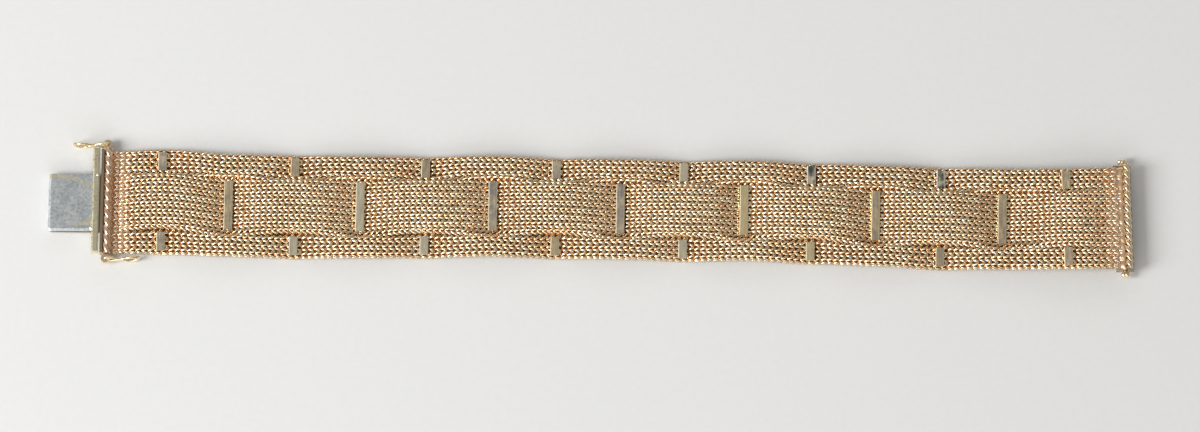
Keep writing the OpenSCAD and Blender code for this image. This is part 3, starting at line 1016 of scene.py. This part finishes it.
def rope(name, diameter, turns, length, spot, yaw, groove, finish):
    """A rope trim laid across the bracelet, with its place in its mesh."""
    tree, sockets = rope_tree()
    start = new_object(name + "_start", [(0, 0, 0)], [])
    piece = run_tree(start, tree, sockets, {
        "Length": length * MM, "Diameter": diameter * MM, "Turns": float(turns),
        "Steps": int(ROPE_STEPS * turns) + 1, "Sides": ROPE_SIDES, "Groove": groove, "Finish": finish}, name)
    bpy.data.objects.remove(start)
    piece.data.transform(Matrix.Translation(Vector(spot) * MM) @ Matrix.Rotation(radians(yaw), 4, "Z"))
    return piece


def box_spot(x, y, z):
    """A place on the clasp box in its own turned frame."""
    turn = radians(BOX_YAW)
    return (TIP_X + BOX_FACE + x * cos(turn) - y * sin(turn),
            BOX_OFF + x * sin(turn) + y * cos(turn), z)


# Catch wire: share of the catch's length, half height of the loop, outward bend
CATCH = [
    (0, 0.56, 0), (0, 0.64, 0), (0.013, 0.82, 0), (0.041, 0.9, 0), (0.17, 0.9, 0), (0.26, 0.68, 0),
    (0.34, 0.38, 0), (0.4, 0.28, 0), (0.48, 0.28, 0), (0.55, 0.52, 0), (0.62, 0.88, 0), (0.69, 1.06, 0),
    (0.77, 1.09, 0.02), (0.85, 0.92, 0.08), (0.92, 0.62, 0.2), (0.965, 0.28, 0.32),
]
# Steps between two of those points, sides of the wire, and how much less the loop's radius is than its pin's
CATCH_STEPS = 4
WIRE_SIDES = 12
LOOP_THINNER = 0.005
# Gap between the loop's ends and the eyelet, and heights of the pin's points
LOOP_GAP = 0.02
PIN_HEIGHTS = (-0.6, -0.3, 0, 0.3, 0.6)


def smooth_path(points, steps):
    """Catmull-Rom curve through points."""
    path = []
    for i in range(len(points) - 1):
        a = points[max(i - 1, 0)]
        b, c = points[i], points[i + 1]
        d = points[min(i + 2, len(points) - 1)]
        for k in range(steps):
            t = k / steps
            path.append(0.5 * (2 * b + (c - a) * t + (2 * a - 5 * b + 4 * c - d) * t * t
                               + (3 * b - a - 3 * c + d) * t * t * t))
    path.append(points[-1])
    return path


def catch(name, side, turn):
    """A figure-of-eight loop and the pin in its eyelet, on the side given by its sign."""
    half = [Vector((-share * CATCH_LEN, bend, height)) for share, height, bend in CATCH]
    half[0].z = EYELET_H / 2 + LOOP_GAP
    path = smooth_path(half + [Vector((p.x, p.y, -p.z)) for p in reversed(half)], CATCH_STEPS)
    move = Matrix.Translation((HINGE_X, side * EYELET_Y, CATCH_Z))
    place = move @ Matrix.Rotation(radians(turn), 4, "Z") @ Matrix.Diagonal((1, side, 1, 1))
    loop = tube(name + "_loop", [(place @ p) * MM for p in path], (WIRE_D / 2 - LOOP_THINNER) * MM,
                WIRE_SIDES, CATCH_GOLD)
    pin = tube(name + "_pin", [(move @ Vector((0, 0, z))) * MM for z in PIN_HEIGHTS], WIRE_D / 2 * MM,
               WIRE_SIDES, CATCH_GOLD)
    return joined(name, [loop, pin])


# How far a solder seam reaches into the mesh
SEAM_LEN = 3.2
# Drops of solder where the leaf meets its thumb bar: name, place, half sizes
BEADS = [
    ("front_bead", (-89.85, -5.2, 2.3), (0.36, 0.52, 0.42)),
    ("back_bead", (-88.95, 4.65, 2.6), (0.26, 0.24, 0.2)),
]

for piece in weave():
    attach(piece, "bracelet")
    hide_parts("woven_band")
core = painted_shade_core()
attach(core, "bracelet")
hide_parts("woven_band")
for seam in (solder_seam("tongue_solder", MESH_X + SEAM_LEN, MESH_X,
                         level=0.25, flood=0.39, finish=SOLDER_GOLD),
             solder_seam("box_solder", MESH_END_X - SEAM_LEN, MESH_END_X,
                         level=1.2, flood=0.3, finish=BOX_SOLDER)):
    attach(seam, "bracelet")
    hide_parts("woven_band")

left_spot = (TIP_X + STEP_X + ROPE_BACK + TONGUE_ROPE_D / 2, 0,
             TONGUE_LIFT + MESH_END_T + SEAT_GAP + TONGUE_ROPE_D / 2)
left_rope = rope("tongue_rope_wires", TONGUE_ROPE_D, TONGUE_ROPE_TURNS, END_W + TONGUE_ROPE_EXTRA, left_spot,
                 yaw=0, groove=0.32, finish=ROSE_GOLD)
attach(left_rope, "bracelet")
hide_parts("tongue_rope")
right_spot = box_spot(-ROPE_BACK - BOX_ROPE_D / 2, 0, BOX_H + SEAT_GAP + BOX_ROPE_D / 2)
right_rope = rope("box_rope_wires", BOX_ROPE_D, BOX_ROPE_TURNS, END_W, right_spot,
                  yaw=BOX_YAW, groove=0.5, finish=ROPE_GOLD)
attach(right_rope, "bracelet")
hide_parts("box_rope")
for name, spot, size in BEADS:
    bead = solder_bead(name, spot, size)
    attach(bead, "spring_leaf")
# Catches: name, side of the bracelet, angle at rest from lying past the tongue
for name, side, turn in (("upper_catch", 1, 3), ("lower_catch", -1, 180)):
    wire = catch(name + "_wire", side, turn)
    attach(wire, name)
    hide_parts(name)

for node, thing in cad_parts.items():
    finish = {"tongue_terminal": CLASP_GOLD, "spring_leaf": WHITE_GOLD, "clasp_box": CLASP_GOLD}.get(node)
    if "_bar_" in node:
        finish = BAR_FINISHES[BAR_TONES.get(node, "plain")]
    if finish:
        for entry in thing.material_slots:
            entry.material = finish

# Floor, light and camera, in metres and watts
FLOOR_HALF = 2
FLOOR_STOPS = [(0, (0.80, 0.80, 0.79)), (1, (0.84, 0.84, 0.83))]
WORLD_COLOR = (1, 0.98, 0.94, 1)
WORLD_STRENGTH = 0.31
# Lamps, all aimed at the origin: name, place, size, power
LAMPS = [
    ("key", (-0.99, -0.36, 0.756), (0.58, 0.72), 15.0),
    ("front", (-0.15, -1.05, 0.525), (1.2, 0.45), 4.0),
    ("back", (0.0, 1.05, 0.525), (1.2, 0.45), 1.8),
]
# Camera: its turn from the front and its angle over the floor in degrees, its distance, the width that it
# takes in there, what it looks at, and its sensor's width in millimetres
CAMERA_TURN = 1.03
CAMERA_RAISE = 73.75
CAMERA_FAR = 3.3
CAMERA_SEES = 0.216
CAMERA_TARGET = Vector((1.62, -1.09, 1.4)) * MM
SENSOR_W = 36


def floor():
    corners = [(-FLOOR_HALF, -FLOOR_HALF, 0), (FLOOR_HALF, -FLOOR_HALF, 0), (FLOOR_HALF, FLOOR_HALF, 0),
               (-FLOOR_HALF, FLOOR_HALF, 0)]
    ground = new_object("floor", corners, [(0, 1, 2, 3)])
    made, tree, surface = material("floor_paper")
    fibres = cloud(tree, object_place(tree), 900, detail=3)
    feed(tree, surface.inputs["Base Color"], ramp(tree, fibres, FLOOR_STOPS))
    surface.inputs["Roughness"].default_value = 0.9
    surface.inputs["Specular IOR Level"].default_value = 0.2
    ground.data.materials.append(made)


def area_light(name, spot, size, power):
    lamp = bpy.data.lights.new(name, "AREA")
    lamp.shape = "RECTANGLE"
    lamp.size, lamp.size_y = size
    lamp.energy = power
    thing = linked(name, lamp)
    thing.location = spot
    thing.rotation_euler = (-Vector(spot)).to_track_quat("-Z", "Y").to_euler()
    thing.visible_camera = False


def studio():
    world = bpy.data.worlds.new("studio")
    world.use_nodes = True
    background = world.node_tree.nodes["Background"].inputs
    background["Color"].default_value = WORLD_COLOR
    background["Strength"].default_value = WORLD_STRENGTH
    bpy.context.scene.world = world
    for lamp in LAMPS:
        area_light(*lamp)


def camera():
    view = bpy.data.cameras.new("camera")
    view.sensor_width = SENSOR_W
    view.lens = SENSOR_W * CAMERA_FAR / CAMERA_SEES
    view.clip_start = 0.1
    thing = linked("camera", view)
    azimuth, elevation = radians(CAMERA_TURN), radians(CAMERA_RAISE)
    away = Vector((sin(azimuth) * cos(elevation), -cos(azimuth) * cos(elevation), sin(elevation)))
    thing.location = CAMERA_TARGET + away * CAMERA_FAR
    thing.rotation_euler = (pi / 2 - elevation, 0, azimuth)
    bpy.context.scene.camera = thing


floor()
studio()
camera()
bpy.context.scene.view_settings.view_transform = "Standard"
